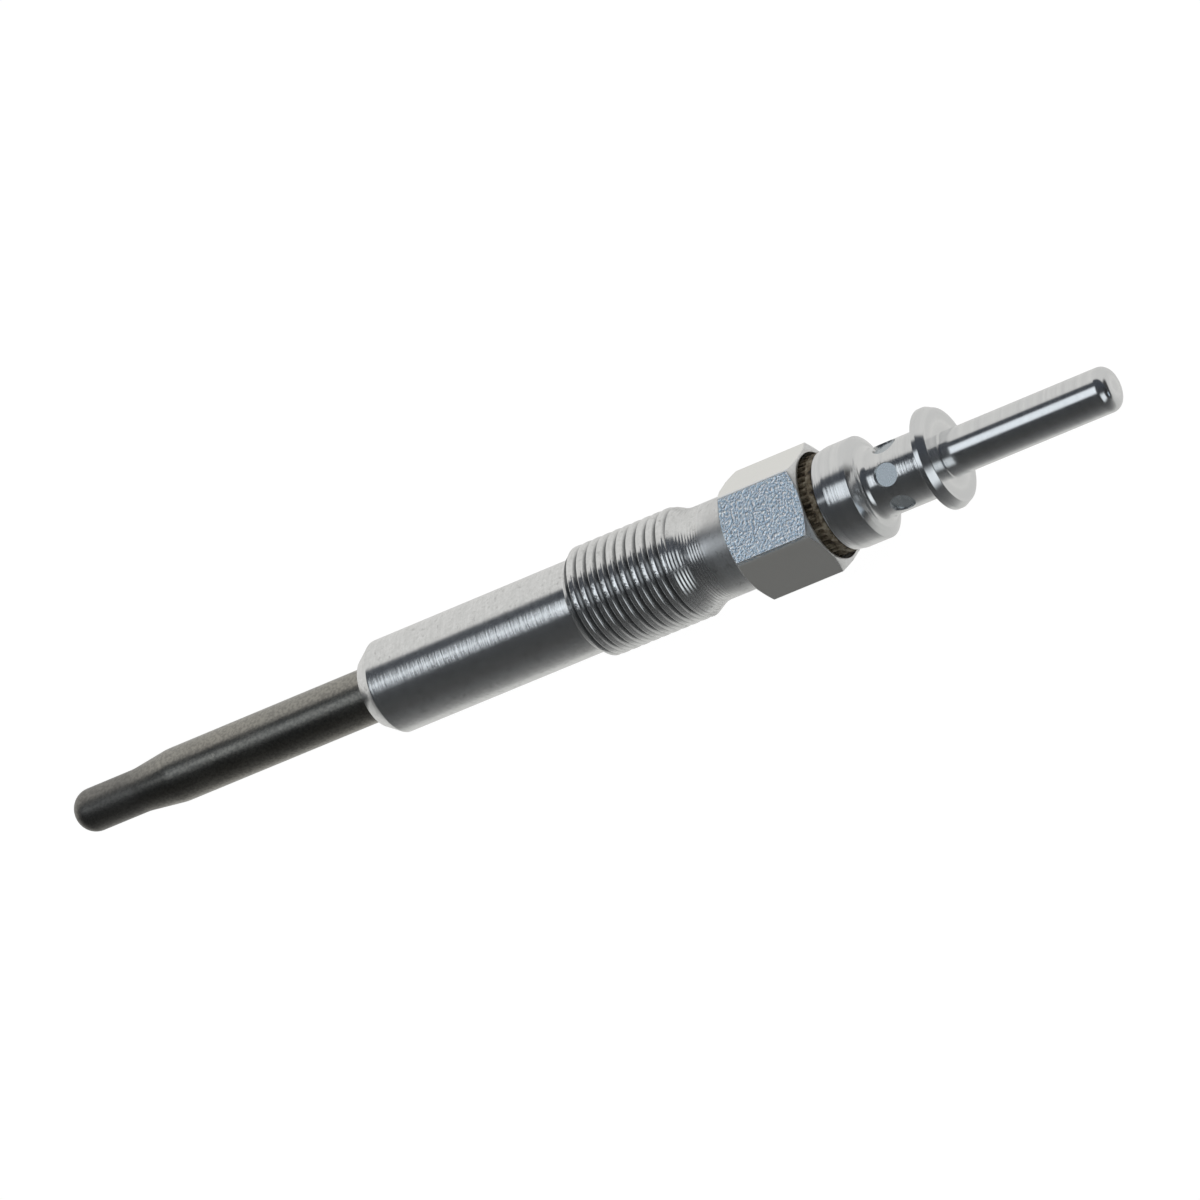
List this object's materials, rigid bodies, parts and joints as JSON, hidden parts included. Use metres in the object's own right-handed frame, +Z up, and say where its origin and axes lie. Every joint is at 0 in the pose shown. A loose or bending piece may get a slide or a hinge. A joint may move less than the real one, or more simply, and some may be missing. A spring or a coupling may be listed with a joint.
{
  "type": "diesel glow plug",
  "caption": "Sheathed diesel glow plug: dark heater tube with reduced tip, threaded steel body with cone seat and hexagon, insulated pin terminal crimped behind a flange.",
  "frame": {"origin": "on the surface it lies on, under the middle of the plug's length and of its hexagon", "axes": "+X along the plug's axis from the hot tip to the contact pin, +Z up through one flat of the hexagon, the axis level at half the size across flats"},
  "size_m": [0.1056, 0.0116, 0.01],
  "materials": {
    "zinc_plate": "bright zinc plate over turned steel, satin",
    "sheath": "dark oxidised nickel alloy, satin",
    "heating_wire": "dull resistance wire",
    "regulating_wire": "bright nickel wire",
    "magnesia": "packed off-white powder, matt",
    "seal_rubber": "black fluorocarbon rubber, matt",
    "rod_steel": "drawn steel, bright",
    "ring_rubber": "black rubber, smooth",
    "insulation": "mottled brown moulded insulation, matt",
    "terminal_plate": "bright zinc plate over turned steel, fine circular tool marks"
  },
  "bodies": {
    "root": {"housing": "zinc_plate", "glow_tube": "sheath", "heating_coil": "heating_wire", "regulating_coil": "regulating_wire", "insulating_powder": "magnesia", "tube_seal": "seal_rubber", "centre_rod": "rod_steel", "body_seal": "ring_rubber", "insulating_washer": "insulation", "terminal": "terminal_plate"}
  },
  "joints": []
}
